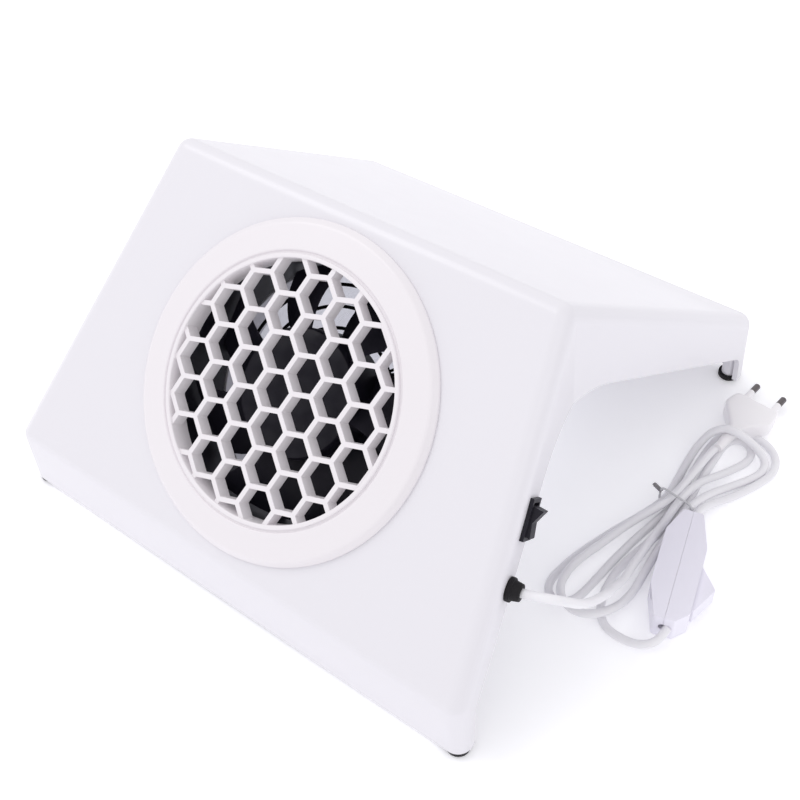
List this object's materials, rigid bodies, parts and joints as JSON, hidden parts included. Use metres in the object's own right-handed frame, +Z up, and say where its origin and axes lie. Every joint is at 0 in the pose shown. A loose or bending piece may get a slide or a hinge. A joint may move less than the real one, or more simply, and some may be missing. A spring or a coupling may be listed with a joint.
{
  "type": "nail dust collector",
  "caption": "Table-top nail dust collector with a sloping suction face, honeycomb grille, fan, dust bag and corded rocker switches",
  "frame": {"origin": "on the table, at the middle of the housing footprint", "axes": "+Z up, +Y from the suction face to the back, +X to the side with the switch and cord"},
  "size_m": [0.3743, 0.3234, 0.1794],
  "materials": {
    "housing_white": "satin",
    "grille_white": "satin",
    "black_plastic": "satin",
    "black_rubber": "matt",
    "bright_steel": "satin",
    "pin_steel": "satin",
    "core_steel": "matt",
    "brass": "satin",
    "winding_copper": "satin",
    "guard_black": "satin",
    "bag_cloth": "woven",
    "cord_white": "satin",
    "switch_lilac": "satin",
    "plug_white": "gloss",
    "wire_skin": "satin",
    "tie_grey": "satin"
  },
  "bodies": {
    "housing": {"housing_shell": "housing_white", "rubber_feet": "black_rubber", "wiring_cover": "housing_white", "cover_screws": "bright_steel", "fan_frame": "black_plastic", "bearing_front": "bright_steel", "bearing_rear": "bright_steel", "stator_core": "core_steel", "stator_coils": "winding_copper", "fan_leads": "wire_skin", "finger_guard": "guard_black", "bag_collar": "housing_white", "fan_screws": "bright_steel", "dust_bag": "bag_cloth", "bag_elastic": "bag_cloth", "switch_body": "black_plastic", "switch_terminals": "bright_steel", "cord_bushing": "black_rubber", "cord_inner_end": "cord_white", "cord_clamp": "housing_white", "clamp_screws": "bright_steel", "terminal_block": "plug_white", "terminal_screws": "brass", "link_wires": "wire_skin", "cord_lead": "cord_white", "cord_hank": "cord_white", "cord_switch_tail": "cord_white", "cord_plug_tail": "cord_white", "cord_tie": "tie_grey", "inline_shell_back": "switch_lilac", "inline_shell_front": "switch_lilac", "inline_screws": "bright_steel", "inline_contacts": "brass", "plug_body": "plug_white", "plug_pins": "pin_steel", "plug_sleeves": "plug_white"},
    "rotor": {"fan_impeller": "black_plastic", "rotor_ring": "bright_steel", "fan_shaft": "bright_steel", "shaft_clip": "bright_steel"},
    "rocker": {"switch_rocker": "black_plastic"},
    "inline_key": {"inline_rocker": "switch_lilac"},
    "grille": {"grille": "grille_white"}
  },
  "joints": [
    {"name": "fan_spin", "type": "hinge", "parent": "housing", "child": "rotor", "pos_m": [0, -0.07245, 0.09071], "axis": [0, -0.7145, 0.6997], "continuous": true},
    {"name": "rocker_tilt", "type": "hinge", "parent": "housing", "child": "rocker", "pos_m": [0.13946, -0.08092, 0.09727], "axis": [-0.0947, 0.7002, -0.7076], "range_deg": [-24, 0]},
    {"name": "inline_rocker_tilt", "type": "hinge", "parent": "housing", "child": "inline_key", "pos_m": [0.20288, -0.01325, 0.0088], "axis": [0, 0, 1], "range_deg": [-10, 0]},
    {"name": "grille_lift", "type": "slide", "parent": "housing", "child": "grille", "axis": [0, -0.7145, 0.6997], "range_m": [0, 0.03]}
  ]
}
